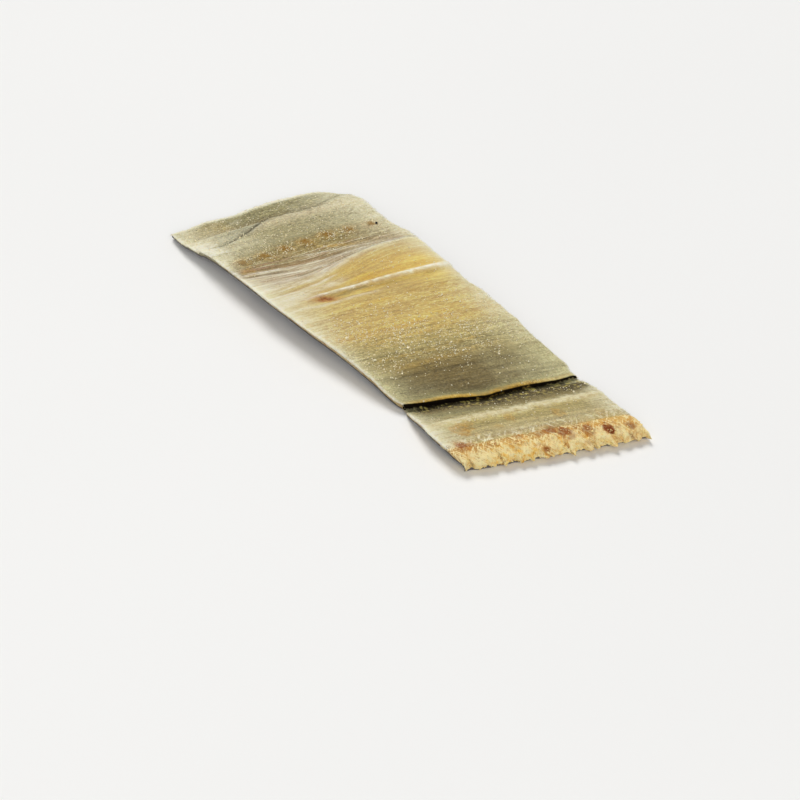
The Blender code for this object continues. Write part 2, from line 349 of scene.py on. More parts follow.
def outline(along, across):
    """The x and y of a place on the strip, seen from above."""
    across_x, across_y = span(along)
    past_slit = np.clip((along - SLIT_LIP) / (1 - SLIT_LIP), 0, 1)
    x = STRIP_LENGTH * (along - 0.5) + across_x * (across - 0.5) - CENTRE[0]
    y = across_y * (across - 0.5) - BONE_SWING * past_slit - CENTRE[1]
    near = np.exp(-across * MARGIN_SPAN / EDGE_REACH)
    far = np.exp(-(1 - across) * MARGIN_SPAN / EDGE_REACH)
    margin = np.exp(-along * STRIP_LENGTH / EDGE_REACH)
    bones = np.exp(-(1 - along) * STRIP_LENGTH / (EDGE_REACH / 3))
    y += far * profile(FAR_EDGE, along) - near * profile(NEAR_EDGE, along)
    x += bones * (profile(BONE_EDGE, across, 0.02) - bites(across))
    x -= margin * profile(MARGIN_EDGE, across, 0.02)
    return x, y


def underside(along, across):
    """The height of the skin side: two arches that stand on three lines across the strip."""
    main = ARCH_RISE * np.sin(math.pi * np.clip(along / SLIT_LIP, 0, 1))
    past_slit = np.clip((along - SLIT_LIP) / (BONE_FOOT - SLIT_LIP), 0, 1)
    bone = BONE_ARCH_RISE * np.sin(math.pi * past_slit)
    curl = CORNER_CURL * np.clip(1 - along / 0.14, 0, 1) ** 2 * np.clip(1 - across / 0.3, 0, 1) ** 2
    wave = WAVE * np.sin(5.2 * across + 7.5 * along + 0.6)
    return main * (1 + wave) + bone + curl


def pin_bone_away(along, across):
    """How far it is to the nearest cut pin bone."""
    nearest = np.full_like(along, 99.0)
    for number in range(PIN_BONES):
        place = PIN_START + PIN_STEP * number
        row = np.interp(place, *np.array(PIN_LINE).T)
        away = np.hypot((along - row) * STRIP_LENGTH, (across - place) * MARGIN_SPAN)
        nearest = np.minimum(nearest, away)
    return nearest


def past_line(line, along, across, spread=0.03):
    """How far along the strip a place lies past a line that crosses it."""
    return (along - profile(line, across, spread)) * STRIP_LENGTH


def thickness(along, across):
    """The thickness of the piece from its skin side to its flesh side, with its crisper steps."""
    flesh = profile(FLESH, along, 0.0015)
    lining = LINING + LINING_SWELL * np.clip(along / 0.1, 0, 1)
    past_step = past_line(STEP_LINE, along, across)
    height = lining + (flesh - lining) * rise(past_step + 0.4 * noise(across * 14, 0.5, seed=3), 0.8)
    ridge_away = past_line(RIDGE_LINE, along, across) + 0.3 * noise(across * 22, 0.5, seed=5)
    height += RIDGE_RISE * bump(ridge_away, 0.7 + 0.8 * across) * rise(across - 0.22, 0.2)
    height += PIN_BONE_RISE * bump(pin_bone_away(along, across), PIN_BONE_WIDTH)
    vertebra = np.abs(np.sin(math.pi * VERTEBRAE * (across - VERTEBRA_SHIFT))) - 0.5
    height += VERTEBRA_RISE * vertebra * bump((along - 0.972) * STRIP_LENGTH, 4.5)
    far = np.clip(1 - (1 - across) * MARGIN_SPAN / FAR_ROUNDING_WIDTH, 0, 1)
    near = np.clip(1 - across * MARGIN_SPAN / NEAR_ROUNDING_WIDTH, 0, 1)
    rounding = (FAR_ROUNDING * far**2 + NEAR_ROUNDING * near**2) * height / THICKEST
    return height - rounding


def lip_shift(along, across):
    """How far the slit wanders along the strip, fading away on both sides of it."""
    wander = profile(LIP_LINE, across, 0.02) - SLIT_LIP + 0.0009 * rough(across * 24, 0.5, seed=7)
    return wander * between(along, 0.745, 0.82, 0.035)


def flesh_side(along, across):
    """A point of the upper surface. The slit wanders, and its lip leans out over its floor."""
    moved = along + lip_shift(along, across)
    x, y = outline(moved, across)
    over = 0.45 * bump((along - SLIT_LIP + 0.004) * STRIP_LENGTH, 0.7) * rise(SLIT_LIP - along, 0.002)
    under = 0.5 * bump((along - SLIT_LIP - 0.003) * STRIP_LENGTH, 0.6)
    z = underside(moved, across) + thickness(along, across)
    return np.stack((x + over - under, y, z), -1)


def skin_side(along, across):
    """The point of the lower surface below it: the knife went in slantwise on both long edges."""
    slant = thickness(along, across) / THICKEST
    inset = NEAR_UNDERCUT * slant / MARGIN_SPAN
    splay = FAR_SPLAY * slant / MARGIN_SPAN
    across = inset + (1 + splay - inset) * across
    along = along - (1 - BONE_FOOT) * np.clip((along - BONES_START) / (1 - BONES_START), 0, 1) ** 2
    x, y = outline(along, across)
    return np.stack((x, y, underside(along, across)), -1)


def flow(along, across):
    """A place's order among the fibres, which is even along each of the lines they follow."""
    lines = [profile(line, across, 0.02) for line, _ in FLOW_LINES]
    starts = [start for _, start in FLOW_LINES]
    order = 0
    for low, high, start, end in zip(lines, lines[1:], starts, starts[1:]):
        order = order + (end - start) * np.clip((along - low) / (high - low), 0, 1)
    return order


# Closed slabs

def spread_rows(start, end, spacing, finer=np.ones_like):
    """Places from start to end, a spacing apart that finer makes smaller, in whole groups."""
    fine = np.linspace(start, end, 6001)
    density = STRIP_LENGTH / (spacing * finer(fine))
    passed = np.concatenate(((0,), np.cumsum((density[1:] + density[:-1]) / 2 * np.diff(fine))))
    steps = COARSE * math.ceil(passed[-1] / COARSE)
    return np.interp(np.linspace(0, passed[-1], steps + 1), passed, fine)


def spread_columns(width, spacing):
    """Even places from 0 to 1 over a width, in whole groups."""
    return np.linspace(0, 1, COARSE * round(width / spacing / COARSE) + 1)


def quads(*corners):
    """Four-sided faces, from an array of vertex numbers for each of their corners."""
    return np.stack([numbers.ravel() for numbers in corners], -1).tolist()


class Slab:
    """A closed mesh: a fine grid on its face, sides in levels, and a coarse grid on its back."""

    def __init__(self, rows, columns, face, back, levels, facing_down=False):
        along, across = np.meshgrid(rows, columns, indexing="ij")
        self.blocks = []
        places = along.ravel(), across.ravel()
        points = face(*places)
        grid = self.add(points, *places, 0.0).reshape(along.shape)
        self.faces = quads(grid[:-1, :-1], grid[1:, :-1], grid[1:, 1:], grid[:-1, 1:])
        rim = np.concatenate((grid[:-1, 0], grid[-1, :-1], grid[:0:-1, -1], grid[0, :0:-1]))
        places = along.ravel()[rim], across.ravel()[rim]
        foot = back(*places)
        above = rim
        for level in range(1, levels + 1):
            share = level / levels
            below = self.add(points[rim] * (1 - share) + foot * share, *places, share)
            self.faces += quads(above, below, np.roll(below, -1), np.roll(above, -1))
            above = below
        self.join_back(rim, above, along, across, back)
        self.points, self.along, self.across, self.depth = map(np.concatenate, zip(*self.blocks))
        if facing_down:
            self.faces = [corners[::-1] for corners in self.faces]

    def add(self, points, along, across, depth):
        """Adds vertices, and returns their numbers."""
        first = sum(len(block[0]) for block in self.blocks)
        self.blocks.append((points, along, across, np.full(len(points), depth)))
        return np.arange(first, first + len(points))

    def join_back(self, rim, foot, along, across, back):
        """The back's cells take every vertex of the sides' foot, so that nothing gapes."""
        last_row, last_column = along.shape[0] - 1, along.shape[1] - 1
        number = np.full(along.shape, -1)
        number.ravel()[rim] = foot
        rows, columns = range(0, last_row + 1, COARSE), range(0, last_column + 1, COARSE)
        inner = np.ix_(rows[1:-1], columns[1:-1])
        places = along[inner].ravel(), across[inner].ravel()
        number[inner] = self.add(back(*places), *places, 1.0).reshape(along[inner].shape)

        def side(row, column, next_row, next_column):
            if row == next_row and row in (0, last_row):
                step = 1 if next_column > column else -1
                return number[row, column:next_column:step].tolist()
            if column == next_column and column in (0, last_column):
                step = 1 if next_row > row else -1
                return number[row:next_row:step, column].tolist()
            return [int(number[row, column])]

        for row, next_row in itertools.pairwise(rows):
            for column, next_column in itertools.pairwise(columns):
                corners = ((row, column), (row, next_column), (next_row, next_column), (next_row, column))
                cell = []
                for here, there in zip(corners, corners[1:] + corners[:1]):
                    cell += side(*here, *there)
                self.faces.append(cell)

    def measure_normals(self):
        """Finds the direction that each vertex faces."""
        data = bpy.data.meshes.new("measure")
        data.from_pydata(self.points.tolist(), [], self.faces)
        normals = np.zeros(len(self.points) * 3, np.float32)
        data.vertex_normals.foreach_get("vector", normals)
        bpy.data.meshes.remove(data)
        self.normals = normals.reshape(-1, 3).astype(float)


def add_object(name, data):
    """A new object in the scene."""
    made = bpy.data.objects.new(name, data)
    bpy.context.scene.collection.objects.link(made)
    return made


def add_piece(name, points, faces, material, slot, **masks):
    """A finished piece, from points in millimetres, that rides with the part."""
    data = bpy.data.meshes.new(name)
    data.from_pydata((points * MM).tolist(), [], faces)
    for mask, values in masks.items():
        attribute = data.attributes.new(mask, "FLOAT", "POINT")
        attribute.data.foreach_set("value", values.astype(np.float32))
    data.shade_smooth()
    data.materials.append(material)
    piece = add_object(name, data)
    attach(piece, "root")
    return piece


# Materials

def paint(red, green, blue):
    """The linear colour that a shader takes, from 0 to 255 values as seen."""
    seen = np.array((red, green, blue)) / 255
    linear = np.where(seen <= 0.04045, seen / 12.92, ((seen + 0.055) / 1.055) ** 2.4)
    return tuple(linear.tolist()) + (1.0,)


CREAM = paint(241, 235, 201)
PALE_OLIVE = paint(216, 209, 160)
WHITE = paint(250, 247, 228)
STRAW = paint(203, 181, 117)
ASH = paint(205, 192, 156)
KHAKI = paint(172, 156, 100)
DULL = paint(156, 136, 82)
MOSS = paint(150, 142, 100)
OLIVE = paint(142, 134, 90)
GOLD = paint(214, 170, 58)
LIP_GOLD = paint(200, 160, 62)
SUNNY = paint(242, 214, 120)
AMBER = paint(190, 142, 52)
OCHRE = paint(178, 138, 62)
RUST = paint(132, 78, 32)
PIN = paint(146, 106, 22)
BLOOD = paint(134, 58, 12)
MAUVE = paint(160, 130, 100)
UMBER = paint(118, 102, 60)
# This colour paints the shadow in the slit, under its lip, and is also the dark speck's own colour.
BLACK = paint(24, 18, 12)
MURK = paint(58, 50, 28)
CREASE = paint(88, 82, 58)
# This colour is painted shadow in the fold at the outer band's step.
SAGE = paint(152, 150, 122)
DRAB = paint(166, 156, 114)
FAN = paint(195, 179, 149)
SAND = paint(194, 178, 132)
DIRT = paint(34, 26, 18)
DUSK = paint(122, 106, 66)
SHADE = paint(104, 90, 54)
BROWN = paint(160, 134, 90)
SPECK = paint(214, 198, 122)
SPECK_OLIVE = paint(184, 170, 92)
ORANGE = paint(198, 130, 52)
# Pale flecks painted as small glints: painted highlights.
FLECK = paint(234, 222, 168)
BONE = paint(250, 216, 128)
BONE_GOLD = paint(248, 196, 84)
BONE_DEEP = paint(222, 156, 62)
BONE_AMBER = paint(234, 180, 88)
BONE_LIGHT = paint(255, 238, 180)
BONE_SHADE = paint(186, 124, 52)
SKIN_SILVER = paint(186, 184, 186)
SKIN_MAUVE = paint(126, 112, 110)
SKIN_DARK = paint(52, 44, 42)
SALT = paint(252, 244, 216)
SALT_SHADE = paint(232, 216, 168)
FIBRE = paint(240, 232, 202)
FLOOR_SHADE = paint(238, 238, 237)
FLOOR_LIGHT = paint(244, 244, 243)

# Linear colours that are laid over others, to darken and lighten them
GREYS = ((0.32, (0.26, 0.26, 0.26, 1)), (0.68, (0.74, 0.74, 0.74, 1)))
STARK_GREYS = ((0.36, (0.22, 0.22, 0.22, 1)), (0.64, (0.78, 0.78, 0.78, 1)))
PIT = (0.5, 0.44, 0.32, 1)
BONE_PIT = (0.66, 0.48, 0.26, 1)

# The flesh's own colour from the margin to the bones, by the fibres' order. The darkest stop, on the
# slit's wall, is painted shadow under the lip.
FLESH_COLOURS = (
    (0.0, CREAM), (0.01, OLIVE), (0.045, MOSS), (0.08, ASH), (0.115, DRAB), (0.168, DRAB),
    (0.2, DULL), (0.235, DULL), (0.262, BROWN), (0.277, BROWN), (0.286, FAN), (0.312, FAN),
    (0.333, STRAW), (0.56, STRAW), (0.61, KHAKI), (0.64, KHAKI), (0.67, DULL), (0.7, UMBER),
    (0.745, SHADE), (0.762, OLIVE), (0.767, LIP_GOLD), (0.7695, LIP_GOLD), (0.7702, BLACK),
    (0.774, MURK), (0.783, MURK), (0.798, DUSK), (0.828, MOSS), (0.848, KHAKI), (0.858, STRAW),
    (0.88, KHAKI), (0.92, SAND), (1.0, BONE),
)


class Shader:
    """A node material, with a call for each kind of node and a colour that is laid in coats."""

    def __init__(self, name):
        self.material = bpy.data.materials.new(name)
        self.material.use_nodes = True
        self.tree = self.material.node_tree
        self.surface = self.tree.nodes["Principled BSDF"]
        self.colour = None

    def put(self, socket, value):
        if isinstance(value, bpy.types.NodeSocket):
            self.tree.links.new(value, socket)
        else:
            socket.default_value = value

    def node(self, kind, values, **settings):
        """A new node, with its settings and what goes into its sockets."""
        node = self.tree.nodes.new("ShaderNode" + kind)
        for name, setting in settings.items():
            setattr(node, name, setting)
        for socket, value in values.items():
            self.put(node.inputs[socket], value)
        return node

    def finish(self, **values):
        """The material, with its colour and the other values of its surface."""
        self.put(self.surface.inputs["Base Color"], self.colour)
        for name, value in values.items():
            self.put(self.surface.inputs[name.replace("_", " ")], value)
        return self.material

    def mask(self, name):
        return self.node("Attribute", {}, attribute_name=name).outputs["Fac"]

    def math(self, operation, first, second):
        return self.node("Math", {0: first, 1: second}, operation=operation).outputs[0]

    def times(self, first, second):
        return self.math("MULTIPLY", first, second)

    def total(self, *parts):
        """The sum of values, each times its weight."""
        total = self.times(*parts[0])
        for part in parts[1:]:
            total = self.math("ADD", total, self.times(*part))
        return total

    def place(self, x, y, z):
        return self.node("CombineXYZ", {0: x, 1: y, 2: z}).outputs[0]

    def object_place(self):
        return self.node("TexCoord", {}).outputs["Object"]

    def noise(self, place, detail, roughness, scale=1.0):
        values = {"Vector": place, "Scale": scale, "Detail": detail, "Roughness": roughness}
        return self.node("TexNoise", values).outputs["Fac"]

    def cells(self, place, scale):
        return self.node("TexVoronoi", {"Vector": place, "Scale": scale}).outputs["Distance"]

    def span(self, value, low, high, to_low=0.0, to_high=1.0):
        """A value from low to high, turned smoothly into one from to_low to to_high."""
        sockets = ("Value", "From Min", "From Max", "To Min", "To Max")
        values = dict(zip(sockets, (value, low, high, to_low, to_high)))
        return self.node("MapRange", values, interpolation_type="SMOOTHSTEP").outputs["Result"]

    def ramp(self, value, stops):
        node = self.node("ValToRGB", {"Fac": value})
        elements = node.color_ramp.elements
        elements[0].position, elements[0].color = stops[0]
        elements[1].position, elements[1].color = stops[-1]
        for position, colour in stops[1:-1]:
            elements.new(position).color = colour
        return node.outputs["Color"]

    def mix(self, share, first, second, blend="MIX"):
        values = {0: share, 6: first, 7: second}
        return self.node("Mix", values, data_type="RGBA", blend_type=blend).outputs[2]

    def bump(self, height, distance, strength=1.0):
        values = {"Height": height, "Distance": distance, "Strength": strength}
        return self.node("Bump", values).outputs["Normal"]

    def streaks(self, x, y, width, length, detail, seed):
        """Noise with waves of a width along x and a length along y."""
        place = self.place(self.math("DIVIDE", x, width), self.math("DIVIDE", y, length), seed)
        return self.noise(place, detail, 0.6)

    def hatching(self, along, across, size=1.0):
        """Short strokes at two angles to the strip's length."""
        strokes = []
        for turn, seed in ((0.5, 1.5), (-0.6, 8.5)):
            ahead, aside = math.cos(turn), math.sin(turn)
            length = self.total((along, ahead), (across, aside))
            width = self.total((across, ahead), (along, -aside))
            strokes.append(self.streaks(length, width, 2.2 * size, 0.4 * size, 2.0, seed))
        return self.math("MAXIMUM", *strokes)

    def coat(self, share, over, blend="MIX"):
        """Lays a colour over what is there, as strongly as a share says."""
        self.colour = self.mix(share, self.colour, over, blend)

    def coats(self, *layers):
        """Lays colours by masks. A texture and its span, where given, break the mask up."""
        for name, over, *broken in layers:
            share = self.mask(name)
            if broken:
                share = self.times(share, self.span(*broken))
            self.coat(share, over)


def flesh_material():
    s = Shader("dried_flesh")
    order, flowing, depth, black = s.mask("order"), s.mask("flow_mm"), s.mask("depth"), s.mask("black")
    along_mm, across_mm = s.mask("along_mm"), s.mask("across_mm")
    side = s.times(depth, 4.0)
    spot = s.place(along_mm, across_mm, side)
    broad = s.streaks(flowing, across_mm, 4.0, 40.0, 2.0, 1.5)
    fine = s.streaks(flowing, across_mm, 1.5, 24.0, 4.0, 7.5)
    thread = s.streaks(flowing, across_mm, 0.5, 14.0, 2.0, 3.5)
    short = s.streaks(flowing, across_mm, 0.32, 1.4, 2.0, 5.5)
    grain = s.noise(spot, 3.0, 0.7, scale=1.5)
    specks = s.noise(spot, 2.0, 0.6, scale=2.3)
    blotch = s.noise(spot, 2.0, 0.5, scale=0.16)
    mottle = s.noise(spot, 2.0, 0.6, scale=0.55)
    beads = s.cells(s.place(s.times(along_mm, 0.75), across_mm, side), 0.72)
    needles = s.hatching(along_mm, across_mm, 1.7)

    drift = s.times(s.math("SUBTRACT", broad, 0.5), s.mask("drift"))
    s.colour = s.ramp(s.math("ADD", order, drift), FLESH_COLOURS)
    border = s.ramp(order, ((0.55, CREAM), (0.68, PALE_OLIVE), (0.78, PALE_OLIVE), (0.84, CREAM)))
    s.coats(
        ("gold", GOLD, fine, 0.3, 0.7, 0.45),
        ("sunny", SUNNY, fine, 0.3, 0.7, 0.5),
        ("mauve", MAUVE, fine, 0.5, 0.62),
        ("mauve", CREAM, thread, 0.52, 0.68, 0.0, 0.7),
        ("stain", OCHRE, mottle, 0.35, 0.6, 0.4),
        ("dark", UMBER),
        ("veil", SAGE, mottle, 0.3, 0.7, 0.7),
        ("pale", border, blotch, 0.25, 0.75, 0.75),
        ("streak", WHITE),
        ("white", WHITE),
        ("halo", ORANGE, grain, 0.35, 0.6, 0.4),
        ("blood", BLOOD, grain, 0.3, 0.65, 0.5),
    )

    cut = s.noise(s.place(along_mm, across_mm, s.times(depth, 9.0)), 3.0, 0.6, scale=0.5)
    cut_colour = s.ramp(cut, ((0.0, UMBER), (0.42, AMBER), (0.6, STRAW), (1.0, CREAM)))
    cut_share = s.times(s.span(depth, 0.02, 0.3), s.math("SUBTRACT", 1.0, black))
    s.coat(s.times(cut_share, 0.85), s.mix(s.mask("raw"), OLIVE, cut_colour))

    streaky, grainy = s.mask("streaky"), s.mask("grainy")
    woven = s.math("ADD", s.times(s.mask("flecked"), 0.34), 0.14)
    s.coat(streaky, s.ramp(fine, GREYS), "OVERLAY")
    s.coat(s.times(streaky, 0.6), s.ramp(thread, GREYS), "OVERLAY")
    s.coat(grainy, s.ramp(grain, STARK_GREYS), "OVERLAY")
    s.coat(woven, s.ramp(short, STARK_GREYS), "OVERLAY")
    s.coat(s.times(grainy, s.span(mottle, 0.5, 0.35, 0.0, 0.6)), PIT, "MULTIPLY")
    s.coats(
        # painted glints: short pale flecks
        ("flecked", FLECK, short, 0.58, 0.7),
        ("pin", PIN, specks, 0.4, 0.65, 1.0, 0.45),
        ("speckle", MURK, beads, 0.4, 0.62, 0.0, 0.6),
        ("speckle", SPECK_OLIVE, beads, 0.42, 0.2, 0.0, 0.85),
        ("speckle", SPECK, grain, 0.6, 0.67, 0.0, 0.8),
        ("crinkle", CREAM, specks, 0.35, 0.55, 0.3),
        ("frayed", DULL, needles, 0.53, 0.45, 0.0, 0.75),
        ("frayed", CREAM, needles, 0.56, 0.66),
        ("worn_lip", OLIVE),
        # painted shadow in the fold at the step
        ("crease", CREASE),
        # painted shadow in the slit, under its lip
        ("black", BLACK),
    )
    return s.finish(
        Roughness=s.span(blotch, 0.3, 0.7, 0.4, 0.56),
        Normal=s.bump(s.total((grain, 0.7), (fine, 0.5), (thread, 0.5), (short, 0.6)), 0.0004),
        Subsurface_Weight=0.1,
        Subsurface_Radius=(1.0, 0.6, 0.3),
        Subsurface_Scale=0.001,
        Specular_IOR_Level=s.math("SUBTRACT", 0.22, s.times(black, 0.2)),
    )


def bone_material():
    s = Shader("dry_bone")
    along_mm, across_mm = s.mask("along_mm"), s.mask("across_mm")
    place = s.place(along_mm, across_mm, s.mask("up_mm"))
    grain = s.noise(place, 4.0, 0.65, scale=1.5)
    coarse = s.noise(place, 3.0, 0.6, scale=0.5)
    fibre = s.hatching(along_mm, across_mm)
    s.colour = s.ramp(coarse, ((0.3, BONE_DEEP), (0.41, BONE_GOLD), (0.5, BONE), (0.62, BONE_LIGHT)))
    s.coats(
        # painted shade in the hollows of the broken bone, and a painted highlight on its lumps
        ("crevice", BONE_SHADE),
        ("crest", BONE_LIGHT),
        ("fleshy", KHAKI),
        ("stain", OCHRE),
        ("pale", CREAM),
        ("rust", RUST, fibre, 0.5, 0.62, 1.0, 0.0),
        ("halo", ORANGE, fibre, 0.5, 0.66, 0.8, 0.1),
        ("amber", BONE_AMBER),
        ("bright", BONE_LIGHT),
    )
    s.coat(s.span(grain, 0.43, 0.32, 0.0, 0.7), BONE_PIT, "MULTIPLY")
    s.coats(
        ("hatch_dark", BONE_SHADE, fibre, 0.49, 0.42),
        ("hatch_light", BONE_LIGHT, fibre, 0.55, 0.64),
        ("blood", BLOOD, grain, 0.3, 0.6, 0.7),
    )
    return s.finish(
        Roughness=s.span(coarse, 0.3, 0.7, 0.5, 0.7),
        Normal=s.bump(s.total((grain, 1.0), (fibre, 0.7)), 0.0004),
        Subsurface_Weight=0.12,
        Subsurface_Radius=(1.0, 0.65, 0.35),
        Subsurface_Scale=0.001,
        Specular_IOR_Level=0.25,
    )


def skin_material():
    s = Shader("fish_skin")
    along_mm, across_mm = s.mask("along_mm"), s.mask("across_mm")
    streak = s.streaks(along_mm, across_mm, 1.2, 12.0, 4.0, 2.5)
    patch = s.noise(s.place(along_mm, across_mm, 0.5), 3.0, 0.55, scale=0.09)
    grain = s.noise(s.place(along_mm, across_mm, 8.5), 3.0, 0.6, scale=2.2)
    tone = s.total((streak, 0.55), (patch, 0.5))
    s.colour = s.ramp(tone, ((0.34, SKIN_DARK), (0.47, SKIN_MAUVE), (0.62, SKIN_SILVER), (0.8, WHITE)))
    s.coats(("dark", SKIN_DARK))
    s.coat(s.span(s.cells(s.place(along_mm, across_mm, 1.0), 0.22), 0.1, 0.04), SKIN_DARK)
    s.coat(0.3, s.ramp(grain, GREYS), "OVERLAY")
    return s.finish(
        Roughness=s.span(streak, 0.3, 0.7, 0.28, 0.5),
        Normal=s.bump(s.total((streak, 1.0), (grain, 0.4)), 0.0003, 0.7),
        Metallic=0.12,
        Sheen_Weight=0.25,
        Coat_Weight=0.15,
        Coat_Roughness=0.3,
    )


def plain_material(name, light, shade, roughness, translucence):
    """One colour that varies a little, for small things."""
    s = Shader(name)
    varied = s.noise(s.object_place(), 3.0, 0.6, scale=900.0)
    s.colour = s.ramp(varied, ((0.3, shade), (0.7, light)))
    return s.finish(
        Roughness=s.span(varied, 0.3, 0.7, roughness, roughness + 0.15),
        Normal=s.bump(varied, 0.0001, 0.5),
        Subsurface_Weight=translucence,
        Subsurface_Radius=(1.0, 0.8, 0.6),
        Subsurface_Scale=0.0005,
    )


# Masks that the colours follow

def spots(along, across, table, wider=0.0):
    """How deep a place lies in a table of spots with uneven edges."""
    total = np.zeros_like(along)
    ragged = 1 + 0.45 * rough(along * STRIP_LENGTH / 1.3, across * MARGIN_SPAN / 1.3, seed=23)
    for spot_along, spot_across, radius, strength in table:
        away = np.hypot((along - spot_along) * STRIP_LENGTH, (across - spot_across) * MARGIN_SPAN)
        total = np.maximum(total, strength * rise(radius + wider - away * ragged, 1.2 + wider))
    return total


def streaked(along, across, table):
    """How deep a place lies in a table of streaks."""
    total = np.zeros_like(along)
    for number, (line, half_width, strength, start, end) in enumerate(table):
        away = past_line(line, along, across) + 0.35 * rough(across * 18, number + 0.5, seed=29, octaves=2)
        run = between(across, start, end, 0.12) if start > 0 else rise(end - across, 0.12)
        broken = np.clip(0.85 + 0.55 * rough(across * 26, away / 1.5, seed=113 + number), 0, 1.2)
        total = np.maximum(total, strength * broken * run * bump(away, half_width))
    return total


def shares(**masks):
    """Masks by their names, each held between 0 and 1."""
    return {name: np.clip(values, 0, 1) for name, values in masks.items()}


def edge_masks(along, across):
    """How far a place lies in the pale borders, and on their rims, where a highlight is painted."""
    near, far, start = across * MARGIN_SPAN, (1 - across) * MARGIN_SPAN, along * STRIP_LENGTH
    uneven = 1 + 0.35 * rough(along * 20, across * 8, seed=31)
    near_width = 4.8 * uneven * profile(NEAR_BORDER, along, 0.012)
    far_width = 6.4 * uneven * profile(FAR_BORDER, along, 0.012)
    border = strongest(
        0.97 * np.exp(-((near / near_width) ** 1.4)),
        0.92 * np.exp(-((far / far_width) ** 1.5)),
        0.8 * np.exp(-start / 0.8),
    )
    return border, strongest(bump(near, 0.8), bump(far, 0.7), bump(start, 0.6))


def crinkles(step_away, across_mm):
    """Thin wrinkles along the outer band."""
    return np.clip(1 - 6 * np.abs(rough((step_away + 9) / 2.6, across_mm / 16, seed=43)), 0, 1)


def blood_smear(along, across, width, length):
    """How deep a place lies in the old smear of blood."""
    aside = (along - SMEAR_ALONG) * STRIP_LENGTH - SMEAR_SLANT * (across - SMEAR_ACROSS)
    return bump(aside, width) * bump((across - SMEAR_ACROSS) * MARGIN_SPAN, length)


def amber_band(along, across):
    """A golden seam between the flesh and the bones, strongest towards the far edge."""
    patchy = np.clip(0.6 + 0.7 * rough(along * 60, across * 24, seed=143), 0, 1)
    seam = 0.65 * between(along, 0.936, 0.953, 0.01) * rise(across - 0.74, 0.12)
    return np.maximum(seam, 0.6 * patchy * between(along, 0.937, 0.975, 0.016))


